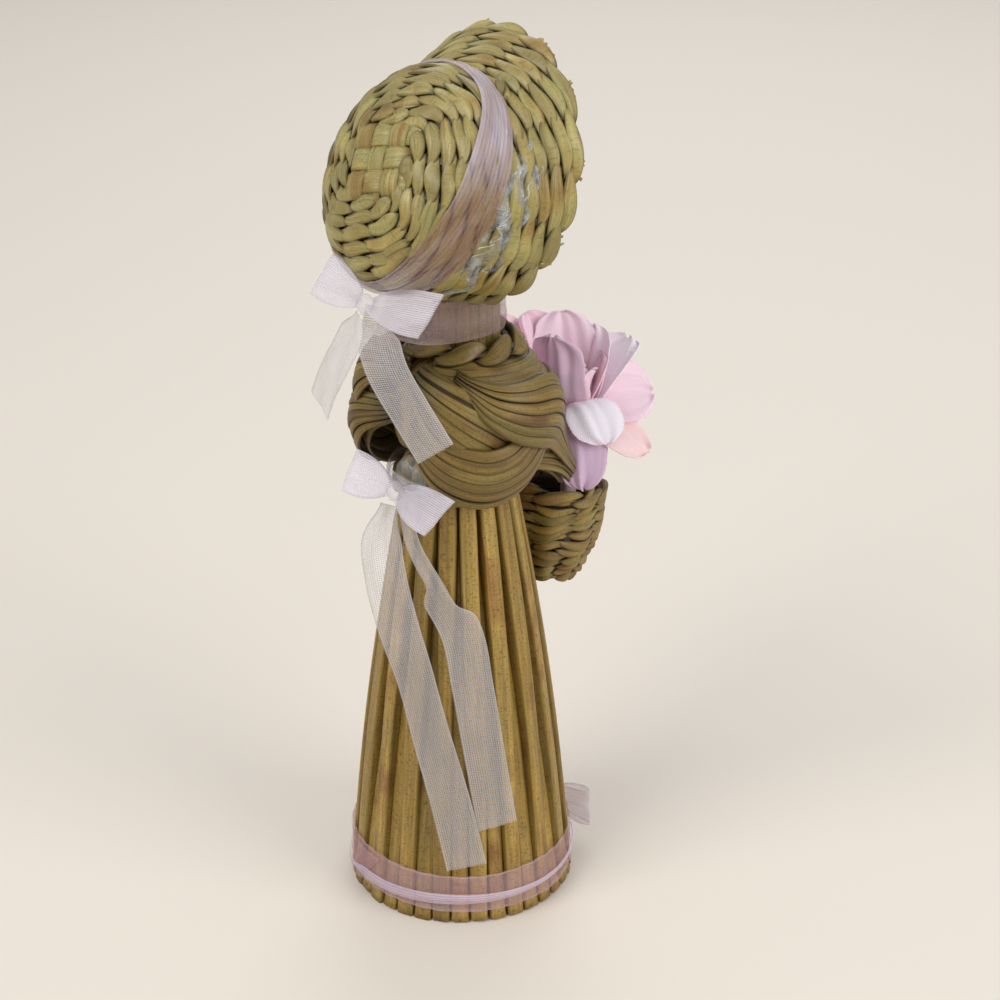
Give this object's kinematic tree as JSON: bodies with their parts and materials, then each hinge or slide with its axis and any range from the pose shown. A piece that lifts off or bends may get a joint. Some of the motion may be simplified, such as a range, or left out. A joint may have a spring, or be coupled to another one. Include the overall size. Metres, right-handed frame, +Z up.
{
  "type": "woven rush doll",
  "caption": "Standing doll of woven rush with a splayed stem skirt, braided arms, a twined bonnet, a basket holding a cloth flower, and sheer ribbon bows.",
  "frame": {"origin": "on the floor, under the middle of the doll's outer box", "axes": "+Z up, -Y the way the doll faces, -X towards its right hand"},
  "size_m": [0.045, 0.062, 0.149],
  "materials": {
    "rush": "dried rush, satin, streaked olive gold",
    "rush_pale": "dried rush, satin, pale straw",
    "rush_dark": "dried rush, matt, brown",
    "ribbon": "sheer woven ribbon, pale pink",
    "petal": "thin cloth, pale pink with creases"
  },
  "bodies": {
    "doll": {"skirt_stem_01": "rush", "skirt_stem_02": "rush", "skirt_stem_03": "rush", "skirt_stem_04": "rush", "skirt_stem_05": "rush", "skirt_stem_06": "rush", "skirt_stem_07": "rush", "skirt_stem_08": "rush", "skirt_stem_09": "rush", "skirt_stem_10": "rush", "skirt_stem_11": "rush", "skirt_stem_12": "rush", "skirt_stem_13": "rush", "skirt_stem_14": "rush", "skirt_stem_15": "rush", "skirt_stem_16": "rush", "skirt_stem_17": "rush", "skirt_stem_18": "rush", "collar_wrap": "rush", "yoke_right": "rush", "yoke_left": "rush", "arm_right_strand_1": "rush", "arm_right_strand_2": "rush", "arm_right_strand_3": "rush", "arm_left_strand_1": "rush", "arm_left_strand_2": "rush", "arm_left_strand_3": "rush", "basket_handle": "rush", "head": "rush_pale", "bonnet_crown": "rush_pale", "bonnet_brim": "rush_pale", "body_core": "rush_dark", "waist_binding": "rush_dark", "basket": "rush_dark", "bonnet_ribbon": "ribbon", "waist_ribbon": "ribbon", "neck_ribbon": "ribbon", "hem_ribbon": "ribbon", "waist_bow_knot": "ribbon", "waist_bow_loop_left": "ribbon", "waist_bow_loop_right": "ribbon", "neck_bow_knot": "ribbon", "neck_bow_loop_left": "ribbon", "neck_bow_loop_right": "ribbon", "hem_bow_knot": "ribbon", "hem_bow_loop_left": "ribbon", "hem_bow_loop_right": "ribbon", "flower_bud": "petal", "flower_petal_1": "petal", "flower_petal_2": "petal", "flower_petal_3": "petal", "flower_petal_4": "petal", "flower_petal_5": "petal", "flower_petal_6": "petal", "flower_petal_7": "petal", "flower_petal_8": "petal"},
    "neck_tail_left_body": {"neck_tail_left": "ribbon"},
    "neck_tail_right_body": {"neck_tail_right": "ribbon"},
    "waist_tail_left_body": {"waist_tail_left": "ribbon"},
    "waist_tail_right_body": {"waist_tail_right": "ribbon"}
  },
  "joints": [
    {"name": "neck_tail_left_lift", "type": "hinge", "parent": "doll", "child": "neck_tail_left_body", "pos_m": [0.0018, 0.02678, 0.1068], "axis": [0.9397, -0.342, 0], "range_deg": [0, 75]},
    {"name": "neck_tail_right_lift", "type": "hinge", "parent": "doll", "child": "neck_tail_right_body", "pos_m": [-0.001, 0.02678, 0.1068], "axis": [0.866, 0.5, 0], "range_deg": [0, 75]},
    {"name": "waist_tail_left_lift", "type": "hinge", "parent": "doll", "child": "waist_tail_left_body", "pos_m": [0.0011, 0.01975, 0.0732], "axis": [0.9397, 0.342, 0], "range_deg": [0, 50]},
    {"name": "waist_tail_right_lift", "type": "hinge", "parent": "doll", "child": "waist_tail_right_body", "pos_m": [-0.0015, 0.01955, 0.0732], "axis": [0.766, 0.6428, 0], "range_deg": [0, 30]}
  ]
}
